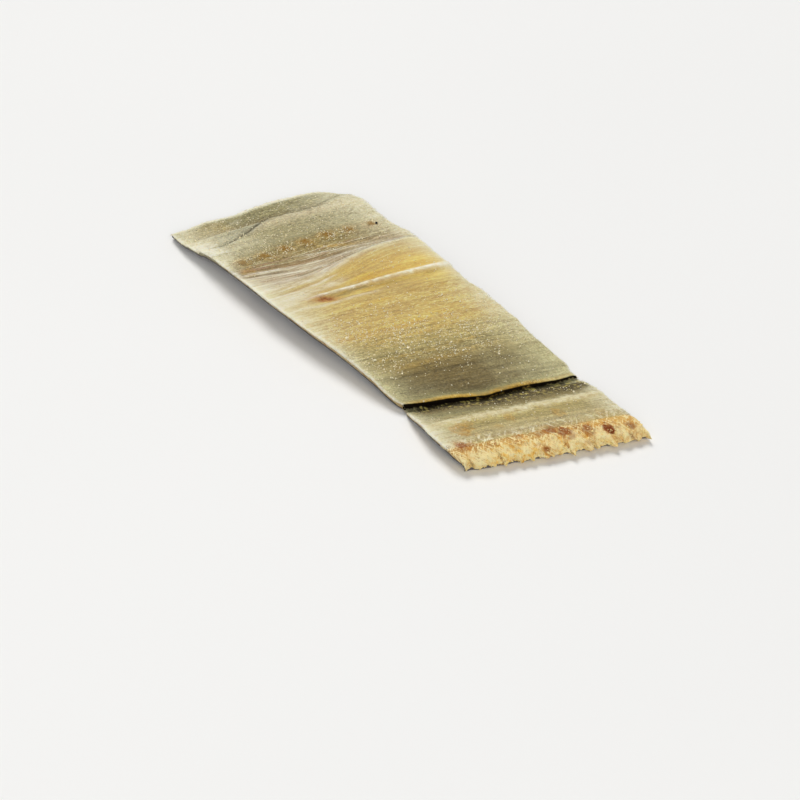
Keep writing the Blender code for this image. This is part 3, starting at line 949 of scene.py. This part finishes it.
def flesh_masks(along, across):
    """What the flesh's colours and streaks follow."""
    border, rim = edge_masks(along, across)
    along_mm, across_mm = along * STRIP_LENGTH, across * MARGIN_SPAN
    uneven = rough(along_mm / 1.6, across_mm / 1.6, seed=41)
    patchy = 1 + 0.8 * rough(along_mm / 5, across_mm / 5, seed=141)

    # The outer band, its furrow, and the painted shadow in the fold at its step
    step_away = past_line(STEP_LINE, along, across)
    furrow_away = past_line(FURROW_LINE, along, across)
    veil = 0.75 * rise(furrow_away - 0.2, 0.5) * rise(-step_away, 0.6) * between(across, 0.12, 0.55, 0.1)
    # Painted shadow: a dark line in the fold at the step, where the inner band lies over the outer.
    crease = bump(step_away + 0.35, 1.15) * (1.0 + 0.6 * uneven) * rise(across - 0.08, 0.08)
    furrow = 0.75 * rise(-furrow_away, 0.4) * bump(furrow_away, 2.8) * between(across, 0.08, 0.86, 0.1)
    light_edge = 0.8 * bump(step_away - 1.0, 0.4) * (0.4 + 0.9 * uneven) * rise(0.7 - across, 0.3)
    furrow_edge = 0.7 * bump(furrow_away - 0.6, 0.5) * (0.6 + 0.6 * uneven) * rise(0.5 - across, 0.2)
    wrinkled = 0.45 * crinkles(step_away, across_mm) * (0.6 + uneven) * rise(-step_away - 0.8, 1.5)

    # Pin bones, fan, ridge and gold
    pin = pin_bone_away(along, across)
    pin_core = rise(1.35 - pin * (1 + 0.3 * uneven), 0.9)
    pin_ring = rise(3.0 - pin * (1 + 0.4 * uneven), 1.6)
    fan = between(along, 0.225, 0.33, 0.03) * (1 - border)
    ridge_away = past_line(RIDGE_LINE, along, across) + 0.4 * rough(across * 30, 0.5, seed=37)
    ridge = bump(ridge_away, 0.45 + 0.6 * across) * rise(across - 0.17, 0.2) * (0.85 + 0.6 * uneven)
    gold = strongest(
        0.55 * between(along, 0.3, 0.43, 0.06) * rise(across - 0.38, 0.4),
        1.1 * between(along, 0.355, 0.4, 0.05) * rise(across - 0.42, 0.3),
        0.34 * between(along, 0.35, 0.6, 0.08) * between(across, 0.12, 1.0, 0.3),
        0.4 * between(along, 0.015, 0.065, 0.02) * between(across, 0.05, 0.3, 0.08),
        streaked(along, across, GOLD_STREAKS),
        amber_band(along, across),
    )
    old_blood = blood_smear(along, across, 1.6, 3.4)

    # The slit, its worn lip, the painted shadow under the lip, and its murky floor
    worn_lip = between(along, 0.7625, 0.7703, 0.0015) * (0.8 * rough(across * 26, 0.5, seed=145) - 0.05)
    worn_lip = worn_lip + 0.25 * between(along, 0.7625, 0.768, 0.0015)
    lip_away = (along - SLIT_LIP) * STRIP_LENGTH
    shade_end = 0.9 * rough(along_mm / 0.9, across_mm / 0.9, seed=45)
    shade_end = shade_end + 0.8 * noise(across * 17, 0.5, seed=47)
    # Painted shadow: the slit's wall and the edge of its floor, under the lip, are laid dark.
    black = rise(0.5 * shade_end - lip_away + profile(BLACK_REACH, across, 0.02), 0.4)
    murky = rise(lip_away, 0.6) * rise(0.8 * uneven - past_line(MURK_LINE, along, across, 0.02), 2.5)

    # Darker and paler ground
    gloom = 0.35 * between(along, 0.635, 0.755, 0.025) + 0.25 * between(along, 0.695, 0.755, 0.02)
    dusk = 0.75 * between(along, 0.787, 0.845, 0.015) * rise(across - 0.4, 0.4) * (1 - 0.5 * border)
    pale_band = bump((along - 0.8555) * STRIP_LENGTH + 1.6 * uneven, 1.5)
    pale = strongest(
        border,
        0.8 * pale_band * (0.65 + 0.35 * rise(across - 0.4, 0.2)),
        0.5 * rise(across - 0.8, 0.3) * rise(0.1 - along, 0.05),
        0.5 * between(along, 0.115, 0.17, 0.03) * rise(0.3 - across, 0.25),
        0.4 * between(along, 0.25, 0.285, 0.02) * rise(across - 0.62, 0.25),
    )
    bleached = between(along, 0.085, 0.175, 0.03) * rise(0.09 - across, 0.12)
    grainy = 0.3 + 0.2 * rise(0.26 - along, 0.06) + 0.1 * rise(along - 0.6, 0.1)
    grainy = (grainy - 0.15 * between(along, 0.28, 0.5, 0.06)) * patchy
    dark = furrow + dusk + gloom * between(across, 0.3, 0.8, 0.25)
    return shares(
        pale=pale,
        # the rims' share of this is a painted highlight on the cut edges
        white=strongest(0.8 * rim, 1.05 * ridge, 0.6 * bleached),
        streak=streaked(along, across, PALE_STREAKS),
        crinkle=strongest(light_edge + furrow_edge, wrinkled),
        gold=gold * (1 - 0.7 * border),
        sunny=0.5 * between(along, 0.325, 0.43, 0.04) * rise(across - 0.7, 0.3),
        mauve=fan * (1 - 0.8 * rise(past_line(STRAND_LINE, along, across), 2.0)),
        pin=pin_core * (1 - 0.3 * rise(0.25 - across, 0.2)),
        stain=0.45 * pin_ring + 1.3 * spots(along, across, STAINS),
        # the dark streaks by the ridge add painted shade on its lower side
        dark=dark + 0.8 * streaked(along, across, DARK_STREAKS),
        crease=crease * (1 - 0.6 * rise(across - 0.55, 0.2)),
        veil=veil,
        raw=rise(along - 0.2, 0.1),
        frayed=between(along, 0.916, 0.96, 0.014) * (0.7 + 0.6 * rough(across * 14, 0.5, seed=149)),
        worn_lip=worn_lip * (1 - 0.8 * rise(across - 0.6, 0.3)),
        speckle=murky * (1 - 0.4 * border),
        halo=strongest(0.7 * spots(along, across, BLOOD_SPOTS, 1.0), 1.1 * old_blood),
        blood=strongest(spots(along, across, BLOOD_SPOTS), old_blood * rise(uneven + 0.2, 0.7)),
        black=black * rise(along - SLIT_LIP + 0.0035, 0.0008),
        # where the painted glints lie; it also weighs the short strokes' overlay
        flecked=0.15 + 0.7 * between(along, 0.44, 0.66, 0.06) + 0.45 * rise(0.25 - along, 0.04),
        grainy=grainy,
        streaky=0.48 - 0.22 * rise(0.2 - along, 0.05),
        drift=0.02 * between(along, 0.02, 0.7, 0.04),
    )


# The pieces

def flesh_relief(along, across):
    """How far the flesh's upper face stands out of the plain form: grain, fibres, creases."""
    along_mm, across_mm = along * STRIP_LENGTH, across * MARGIN_SPAN
    flowing = flow(along, across) * STRIP_LENGTH
    step_away = past_line(STEP_LINE, along, across)
    pin = pin_bone_away(along, across)
    strong = 0.35 + 0.65 * between(along, 0.22, 0.62, 0.06)
    rugged = 0.08 + 0.1 * rise(0.24 - along, 0.04) + 0.06 * rise(along - 0.78, 0.02)
    lumps = 0.5 - lump_distance(along_mm / 1.1, across_mm / 1.1, seed=67)
    grains = 0.5 - lump_distance(along_mm / 0.9, across_mm / 0.9, seed=71)
    return sum((
        0.18 * strong * rough(flowing / 1.5, across_mm / 18, seed=51, octaves=2),
        0.22 * rough(flowing / 6, across_mm / 40, seed=53, octaves=2),
        rugged * rough(along_mm / 1.1, across_mm / 1.1, seed=57),
        0.25 * streaked(along, across, PALE_STREAKS),
        -0.3 * streaked(along, across, DARK_STREAKS),
        0.2 * rise(-step_away - 0.4, 1.0) * crinkles(step_away, across_mm),
        -0.45 * bump(step_away + 0.4, 0.45) * rise(0.85 - across, 0.3),
        -0.3 * rise(-past_line(FURROW_LINE, along, across), 0.7) * rise(0.7 - across, 0.3),
        0.9 * bump(pin, 2.4) * lumps,
        -0.35 * bump(pin, 0.8),
        0.4 * between(along, 0.785, 0.84, 0.02) * grains,
        -0.3 * blood_smear(along, across, 1.3, 3.2),
    ))


def side_relief(along_mm, across_mm, height):
    """The torn fibres and layers on a cut side."""
    layers = 0.14 * rough((along_mm + across_mm) / 4, height / 0.45, seed=81, octaves=2)
    return layers + 0.12 * rough((along_mm + across_mm) / 0.9, height / 0.8, seed=83)


def cap_height(points):
    """Holds the highest relief just inside the height that the solid allows."""
    excess = np.maximum(points[:, 2] - HIGHEST + CAP_SOFTNESS, 0)
    points[:, 2] -= excess - CAP_SOFTNESS * (1 - np.exp(-excess / CAP_SOFTNESS))


def over_skin(along, across):
    """The lower side of the flesh and of the bones, a little inside the skin."""
    return skin_side(along, across) + (0, 0, SKIN_THICKNESS - SKIN_OVERLAP)


def make_flesh():
    def finer(along):
        lip = between(along, SLIT_LIP - 0.0045, SLIT_LIP + 0.001, 0.0015)
        fine = strongest(between(along, 0.75, 0.845, 0.02), between(along, 0.0, 0.15, 0.03))
        return (1 - 0.25 * fine) * (1 - 0.8 * lip)

    rows = spread_rows(0.0, FLESH_END, FLESH_SPACING, finer)
    columns = spread_columns(MARGIN_SPAN, FLESH_SPACING)
    slab = Slab(rows, columns, flesh_side, over_skin, FLESH_LEVELS)
    slab.measure_normals()
    along, across, depth, height = slab.along, slab.across, slab.depth, slab.points[:, 2]
    along_mm, across_mm = along * STRIP_LENGTH, across * MARGIN_SPAN
    edge = np.minimum(across, 1 - across) * MARGIN_SPAN
    on_top = 1 - np.clip(depth * FLESH_LEVELS, 0, 1)
    on_side = np.clip((1 - depth) * FLESH_LEVELS, 0, 1) * (1 - on_top)
    teeth = rough((along_mm + across_mm) / 1.1, height / 1.5, seed=87)
    sunk_side = rise((along - FLESH_SINKS - 0.002) * STRIP_LENGTH, 4.0) * (1 - on_top) * (depth < 0.99)
    relief = sum((
        on_top * flesh_relief(along, across),
        on_side * side_relief(along_mm, across_mm, height),
        0.14 * teeth * np.exp(-edge / 0.6) * (1 - depth),
        -0.7 * rise((along - FLESH_SINKS) * STRIP_LENGTH, 4.0) * on_top,
        -0.5 * sunk_side,
    ))
    slab.points = slab.points + slab.normals * relief[:, None]
    cap_height(slab.points)
    order = flow(along, across)
    wander = 0.6 * noise(along * 7, across * 2.5, seed=11)
    flesh = add_piece(
        "fish_flesh", slab.points, slab.faces, flesh_material(), "dried_flesh",
        order=order, flow_mm=order * STRIP_LENGTH + wander,
        along_mm=along_mm, across_mm=across_mm, depth=depth, **flesh_masks(along, across),
    )
    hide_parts(NODE)
    return slab


def pillows(place, size, seed):
    """Round lumps of about a size with sharp crevices between them, from about -0.6 to 0.4."""
    x, y, z = place / size
    away = lump_distance(x, y, z, seed=seed)
    return np.sqrt(np.clip(1 - (away / 1.05) ** 2, 0, 1)) - 0.7


def crumble(points):
    """The bones' broken surface: lumps with crevices between them, finer ones on the coarse."""
    place = points.T + 0.7 * rough(*(points.T / 2.0), seed=89)
    coarse = pillows(place, 3.6, 91)
    medium = pillows(place, 1.5, 97)
    fine = rough(*(points.T / 0.9), seed=101)
    return 0.9 * coarse + 0.32 * medium + 0.14 * fine


def gap_away(across):
    """How far it is across to the nearest gap between two vertebrae."""
    place = (across - VERTEBRA_SHIFT) * VERTEBRAE + 0.12 * np.sin(23 * across)
    return np.abs(place - np.round(place)) * BONE_SPAN / VERTEBRAE


def make_bones():
    def face(along, across):
        point = flesh_side(along, across)
        sunk = rise((BONE_TOP + 0.018 - along) * STRIP_LENGTH, 3.5)
        point[..., 2] -= 0.9 * sunk - 0.1
        return point

    rows = spread_rows(BONE_TOP, 1.0, BONE_SPACING)
    slab = Slab(rows, spread_columns(BONE_SPAN, BONE_SPACING), face, over_skin, BONE_LEVELS)
    slab.measure_normals()
    along, across, depth, up_mm = slab.along, slab.across, slab.depth, slab.points[:, 2]
    along_mm, across_mm = along * STRIP_LENGTH, across * MARGIN_SPAN
    wander = 2.2 * rough(across * 16, 0.5, seed=103)

    def past(place):
        return along_mm - place * STRIP_LENGTH + wander

    broken = crumble(slab.points)
    bony = rise(past(0.95), 5.0)
    end = rise((along - 0.99) * STRIP_LENGTH, 2.0)
    foot = np.clip((1 - depth) * 6, 0, 1)
    gap = bump(gap_away(across) + 0.5 * rough(along_mm / 1.5, across_mm / 1.5, seed=105), 0.4)
    gap = gap * rise(past(0.975), 4.0) * np.clip(1.3 - depth, 0, 1)
    gap = gap * np.clip(0.65 + 0.9 * noise(across * 9, 0.5, seed=115), 0.1, 1)
    tuck = rise((BONE_TOP + 0.02 - along) * STRIP_LENGTH, 4.0) * (depth > 0.01)
    relief = (0.2 + 0.8 * bony) * (1 - 0.5 * end) * broken - 0.8 * gap
    relief = relief + 0.12 * end * rough(across_mm / 1.1, up_mm, seed=107) - 0.5 * tuck
    teeth = 0.4 - np.abs(np.sin(math.pi * TEETH * (across + 0.01 * np.sin(37 * across))))
    nibbled = 0.4 * (0.5 - np.abs(np.sin(math.pi * NIBBLES * across + 0.4)))
    reach = ((1.2 + 0.5 * noise(across * 11, 0.5, seed=117)) * teeth + nibbled) * end * foot
    slab.points = slab.points + slab.normals * (relief * foot)[:, None] + reach[:, None] * TEETH_POINT
    cap_height(slab.points)
    slab.points[:, 2] = np.maximum(slab.points[:, 2], FLOOR_GAP)

    border, rim = edge_masks(along, across)
    amber = amber_band(along, across)
    upper = rise(0.965 - along, 0.02)
    seam = bump(past(0.951), 2.0) * (0.75 + 0.6 * rough(across * 30, 0.5, seed=109))
    knob_away = np.hypot(3.4 - gap_away(across), (along - 0.974) * STRIP_LENGTH * 0.9)
    knobs = 0.6 * rise(1.7 - knob_away + 2.2 * rough(along_mm / 1.6, across_mm / 1.6, seed=147), 2.0)
    light_end = 0.35 * rise(along - 0.978, 0.01) * rise(np.abs(across - 0.34) - 0.22, 0.1)
    masks = shares(
        # painted shade in the hollows of the broken surface, and a painted highlight on its lumps
        crevice=np.clip(-1.7 * broken, 0, 1) * bony,
        crest=0.9 * np.clip(2.0 * broken - 0.2, 0, 1) * bony,
        fleshy=1 - rise(past(0.946), 3.5),
        stain=0.9 * spots(along, across, STAINS),
        # the rims' share of this is a painted highlight on the cut edges
        pale=0.8 * np.clip(0.6 * border + 0.5 * rim, 0, 1) * (1 - 0.7 * bony),
        rust=np.clip(strongest(seam, 1.2 * gap), 0, 1) * (1 - 0.7 * rise(across - 0.76, 0.1)),
        halo=spots(along, across, BLOOD_SPOTS, 1.8),
        amber=amber,
        bright=knobs + light_end,
        hatch_dark=(0.45 + 0.2 * upper) * (1 - 0.9 * amber * rise(across - 0.7, 0.1)),
        hatch_light=0.6 + 0.3 * upper,
        blood=spots(along, across, BLOOD_SPOTS),
    )
    add_piece(
        "vertebra_row", slab.points, slab.faces, bone_material(), "dried_flesh",
        along_mm=along_mm, across_mm=across_mm, up_mm=up_mm, **masks,
    )
    return slab


def make_skin():
    def face(along, across):
        return skin_side(along, 0.5 + (across - 0.5) * (1 + 0.5 / MARGIN_SPAN))

    def back(along, across):
        return face(along, across) + (0, 0, SKIN_THICKNESS)

    rows = spread_rows(0.0, 1.0, SKIN_SPACING)
    slab = Slab(rows, spread_columns(MARGIN_SPAN, SKIN_SPACING), face, back, 2, facing_down=True)
    along, points = slab.along, slab.points
    along_mm, across_mm = along * STRIP_LENGTH, slab.across * MARGIN_SPAN
    edge = np.minimum.reduce((across_mm, MARGIN_SPAN - across_mm, along_mm, STRIP_LENGTH - along_mm))
    wrinkles = 0.22 * rough(along_mm / 2.4, across_mm / 26, seed=121)
    wrinkles = wrinkles + 0.1 * rough(along_mm / 1.3, across_mm / 7, seed=127)
    points[:, 2] += wrinkles * (1 - slab.depth) * np.clip(edge / 2.0, 0.3, 1)
    points[:, 2] = np.maximum(points[:, 2], FLOOR_GAP)
    slit = bump((along - SLIT_LIP - 0.01) * STRIP_LENGTH, 3.0)
    dorsal = bump((along - 0.93) * STRIP_LENGTH, 2.5)
    rim = strongest(bump(edge, 0.7), slab.depth > 0.1)
    add_piece(
        "fish_skin", points, slab.faces, skin_material(), "fish_skin",
        along_mm=along_mm, across_mm=across_mm, **shares(dark=strongest(slit, 0.8 * dorsal, 0.75 * rim)),
    )


# Loose bits on the surface

CUBE_CORNERS = np.array(list(itertools.product((-0.5, 0.5), repeat=3)))
CUBE_FACES = np.array(
    ((0, 1, 3, 2), (4, 6, 7, 5), (0, 4, 5, 1), (2, 3, 7, 6), (0, 2, 6, 4), (1, 5, 7, 3))
)


def unit(vectors):
    """The same directions, each of length 1."""
    return vectors / np.linalg.norm(vectors, axis=1)[:, None]


def turned(draw, count):
    """Rotation matrices in every direction, drawn evenly."""
    first = unit(draw.normal(size=(count, 3)))
    second = unit(np.cross(first, draw.normal(size=(count, 3))))
    return np.stack((first, second, np.cross(first, second)), 1)


def pick(draw, weights, count):
    """Numbers of vertices, drawn by their weights."""
    weights = np.maximum(weights, 0)
    return draw.choice(len(weights), size=count, p=weights / weights.sum())


def add_grains(name, draw, centres, sizes, sharpness, material, slot):
    """Small uneven blocks, one at each centre that has room over the floor and under HIGHEST."""
    keep = (centres[:, 2] + 0.9 * sizes < HIGHEST) & (centres[:, 2] - 0.9 * sizes > FLOOR_GAP)
    centres, sizes = centres[keep], sizes[keep]
    count = len(centres)
    corners = CUBE_CORNERS[None] * draw.uniform(0.7, 1.3, size=(count, 1, 3))
    corners = corners * (1 + (1 - sharpness) * draw.uniform(-0.5, 0.5, size=(count, 8, 1)))
    corners = np.einsum("nij,nkj->nki", turned(draw, count), corners) * sizes[:, None, None]
    points = (centres[:, None] + corners).reshape(-1, 3)
    faces = (CUBE_FACES[None] + 8 * np.arange(count)[:, None, None]).reshape(-1, 4)
    return add_piece(name, points, faces.tolist(), material, slot)


def make_crystals(flesh):
    """Salt that has dried out of the flesh, as tiny crystals half sunk in it."""
    draw = np.random.default_rng(211)
    along, across = flesh.along, flesh.across
    pin = pin_bone_away(along, across)
    dense = 0.2 + 1.8 * between(along, 0.5, 0.68, 0.1) + 0.5 * rise(0.24 - along, 0.04)
    dense = dense + 2.6 * bump(pin - 2.1, 0.7) * (pin > 1.2)
    patchy = np.clip(0.5 + rough(along * 25, across * 10, seed=131), 0.05, 2)
    weights = dense * patchy * (flesh.depth < 0.05)
    weights = weights * between(along, 0.012, 0.93, 0.01) * between(across, 0.01, 0.99, 0.01)
    weights = weights * (1 - between(along, 0.769, 0.783, 0.002))
    chosen = pick(draw, weights, SALT_CRYSTALS)
    sizes = 0.14 + 0.2 * draw.random(SALT_CRYSTALS) ** 2
    sizes = sizes + 0.2 * (draw.random(SALT_CRYSTALS) > 0.96)
    centres = flesh.points[chosen] + draw.normal(scale=0.12, size=(SALT_CRYSTALS, 3)) * (1, 1, 0)
    centres = centres + flesh.normals[chosen] * sizes[:, None] * 0.2
    material = plain_material("salt", SALT, SALT_SHADE, 0.3, 0.2)
    crystals = add_grains("salt_crystals", draw, centres, sizes, 0.8, material, "salt")
    crystals.data.shade_flat()


def make_crumbs(bones):
    """Crumbs of bone on the broken row."""
    draw = np.random.default_rng(223)
    bony = rise((bones.along - 0.955) * STRIP_LENGTH, 6.0) * (bones.depth < 0.75)
    chosen = pick(draw, bony, BONE_CRUMBS)
    sizes = 0.16 + 0.3 * draw.random(BONE_CRUMBS) ** 2.5
    centres = bones.points[chosen] + bones.normals[chosen] * sizes[:, None] * 0.22
    material = plain_material("bone_crumb", BONE_LIGHT, BONE, 0.55, 0.15)
    add_grains("bone_crumbs", draw, centres, sizes, 0.3, material, "dried_flesh")


def make_speck(flesh):
    """A dark seed of dirt by the last pin bone, half sunk in the flesh."""
    along_mm = (flesh.along - SPECK_ALONG) * STRIP_LENGTH
    across_mm = (flesh.across - SPECK_ACROSS) * MARGIN_SPAN
    nearest = np.argmin(np.hypot(along_mm, across_mm) + 99 * flesh.depth)
    form = bmesh.new()
    bmesh.ops.create_icosphere(form, subdivisions=2, radius=0.5)
    points = np.array([vertex.co[:] for vertex in form.verts]) * (1, 0.85, 0.8)
    points = points + flesh.points[nearest] + (0, 0, 0.3)
    form.verts.index_update()
    faces = [[vertex.index for vertex in face.verts] for face in form.faces]
    form.free()
    add_piece("dark_speck", points, faces, plain_material("dirt", DIRT, BLACK, 0.6, 0.0), "dried_flesh")


def threads(draw, starts, ways, lifts, lengths, widths):
    """Thin curved fibres with three sides, each tapering to its tip."""
    share = np.linspace(0, 1, FIBRE_RINGS)
    side = unit(np.cross(ways, lifts))
    bend = draw.normal(scale=0.22, size=len(starts))
    arch = draw.uniform(0.05, 0.3, size=len(starts))
    lengths, widths = lengths[:, None, None], widths[:, None, None]
    line = starts[:, None] + ways[:, None] * lengths * share[None, :, None]
    line = line + side[:, None] * (bend[:, None] * share**2)[..., None] * lengths
    line = line + lifts[:, None] * (arch[:, None] * np.sin(math.pi * share * 0.8))[..., None] * lengths
    thin = widths * (1 - 0.75 * share)[None, :, None]
    points = []
    for angle in (0, 2 * math.pi / 3, 4 * math.pi / 3):
        points.append(line + thin * (side[:, None] * math.cos(angle) + lifts[:, None] * math.sin(angle)))
    points = np.stack(points, 2).reshape(-1, 3)
    number = np.arange(len(points)).reshape(-1, FIBRE_RINGS, 3)
    low, high = number[:, :-1], number[:, 1:]
    faces = quads(low, np.roll(low, -1, 2), np.roll(high, -1, 2), high)
    return points, faces + number[:, 0, ::-1].tolist() + number[:, -1].tolist()


def make_fibres(flesh, bones):
    """Dry fibres: some lie along the flesh, and short ones stand out of the cut edges."""
    draw = np.random.default_rng(227)
    along, across = flesh.along, flesh.across
    run = unit(np.stack((*span(along), np.zeros_like(along)), -1))
    taken = []

    def take(slab, weights, count, heading, lengths, widths):
        """Draws places by their weights, and a fibre for each, between two lengths and widths."""
        chosen = pick(draw, weights, count)
        way = heading(chosen)
        normals = slab.normals[chosen]
        side = np.cross(normals, way)
        lift = np.cross(side, way) / np.linalg.norm(side, axis=1)[:, None]
        length, width = draw.uniform(*lengths, count), draw.uniform(*widths, count)
        taken.append((slab.points[chosen] - normals * 0.02, unit(way), lift, length, width))

    def lying(chosen):
        turn = np.sign(draw.normal(size=(len(chosen), 1)))
        return run[chosen] * turn + draw.normal(scale=0.12, size=(len(chosen), 3))

    def standing_out(chosen):
        spread = draw.normal(scale=0.5, size=(len(chosen), 3)) * (1, 1, 0.4)
        return flesh.normals[chosen] * (1, 1, 0.3) + spread

    def torn(chosen):
        ranges = ((0.5, 1), (-0.8, 0.8), (0, 0.3))
        return np.stack([draw.uniform(low, high, len(chosen)) for low, high in ranges], -1)

    face = (flesh.depth < 0.05) * between(along, 0.1, 0.72, 0.05) * between(across, 0.03, 0.9, 0.02)
    take(flesh, face, LYING_FIBRES, lying, (0.8, 3.0), (0.03, 0.06))
    edge = np.minimum(across, 1 - across) * MARGIN_SPAN
    fringe = np.exp(-edge / 0.25) + np.exp(-along * STRIP_LENGTH / 0.25)
    fringe = (flesh.depth < 0.4) * fringe * (along < 0.94)
    take(flesh, fringe, EDGE_FIBRES, standing_out, (0.25, 0.8), (0.03, 0.07))
    seam = between(bones.along, 0.925, 0.97, 0.02) * (bones.depth < 0.05)
    take(bones, seam, TORN_FIBRES, torn, (0.6, 1.4), (0.04, 0.08))

    starts, ways, lifts, lengths, widths = map(np.concatenate, zip(*taken))
    keep = starts[:, 2] + 0.35 * lengths < HIGHEST
    points, faces = threads(draw, starts[keep], ways[keep], lifts[keep], lengths[keep], widths[keep])
    points[:, 2] = np.clip(points[:, 2], FLOOR_GAP, HIGHEST)
    material = plain_material("dry_fibre", FIBRE, STRAW, 0.45, 0.15)
    add_piece("loose_fibres", points, faces, material, "dried_flesh")


# The studio

AIM = Vector((0.00559, -0.00317, 0.006))
AIM_PIXEL = (412, 330)
IMAGE = 800
LENS = 120
SENSOR = 36
CAMERA_DISTANCE = 0.85
CAMERA_AZIMUTH = math.radians(51)
CAMERA_ELEVATION = math.radians(40)
FLOOR_REACH = 4.0


def make_camera():
    """The photograph's viewing angle, with the aim point at its pixel."""
    back = Vector((
        math.sin(CAMERA_AZIMUTH) * math.cos(CAMERA_ELEVATION),
        -math.cos(CAMERA_AZIMUTH) * math.cos(CAMERA_ELEVATION),
        math.sin(CAMERA_ELEVATION),
    ))
    right = Vector((math.cos(CAMERA_AZIMUTH), math.sin(CAMERA_AZIMUTH), 0))
    up = back.cross(right)
    focal = LENS / SENSOR * IMAGE
    aside, down = ((pixel - IMAGE / 2) / focal for pixel in AIM_PIXEL)
    ray = -back + right * aside - up * down
    data = bpy.data.cameras.new("camera")
    data.lens = LENS
    data.sensor_width = SENSOR
    camera = add_object("camera", data)
    axes = Matrix((right, up, back)).transposed().to_4x4()
    camera.matrix_world = Matrix.Translation(AIM - ray.normalized() * CAMERA_DISTANCE) @ axes
    bpy.context.scene.camera = camera


def make_sun(name, direction, strength, spread):
    data = bpy.data.lights.new(name, "SUN")
    data.energy = strength
    data.angle = math.radians(spread)
    data.color = (1.0, 0.985, 0.96)
    light = add_object(name, data)
    light.rotation_mode = "QUATERNION"
    light.rotation_quaternion = Vector(direction).to_track_quat("Z", "Y")


def make_floor():
    data = bpy.data.meshes.new("floor")
    corners = ((-1, -1), (1, -1), (1, 1), (-1, 1))
    data.from_pydata([(x * FLOOR_REACH, y * FLOOR_REACH, 0) for x, y in corners], [], [(0, 1, 2, 3)])
    s = Shader("pale_floor")
    tone = s.noise(s.object_place(), 2.0, 0.5, scale=3.0)
    s.colour = s.ramp(tone, ((0.0, FLOOR_SHADE), (1.0, FLOOR_LIGHT)))
    data.materials.append(s.finish(Roughness=0.7))
    add_object("floor", data)


def make_studio():
    scene = bpy.context.scene
    scene.world = bpy.data.worlds.new("studio")
    scene.world.use_nodes = True
    sky = scene.world.node_tree.nodes["Background"]
    sky.inputs["Color"].default_value = (0.95, 0.97, 1.0, 1)
    sky.inputs["Strength"].default_value = 0.3
    make_sun("key", (-0.75, 0.25, 0.95), 2.05, 28)
    make_sun("fill", (0.8, -0.4, 0.6), 1.2, 60)
    make_floor()
    scene.view_settings.view_transform = "Standard"
    scene.view_settings.look = "None"


def main():
    make_camera()
    flesh = make_flesh()
    bones = make_bones()
    make_skin()
    make_crystals(flesh)
    make_crumbs(bones)
    make_speck(flesh)
    make_fibres(flesh, bones)
    make_studio()


main()
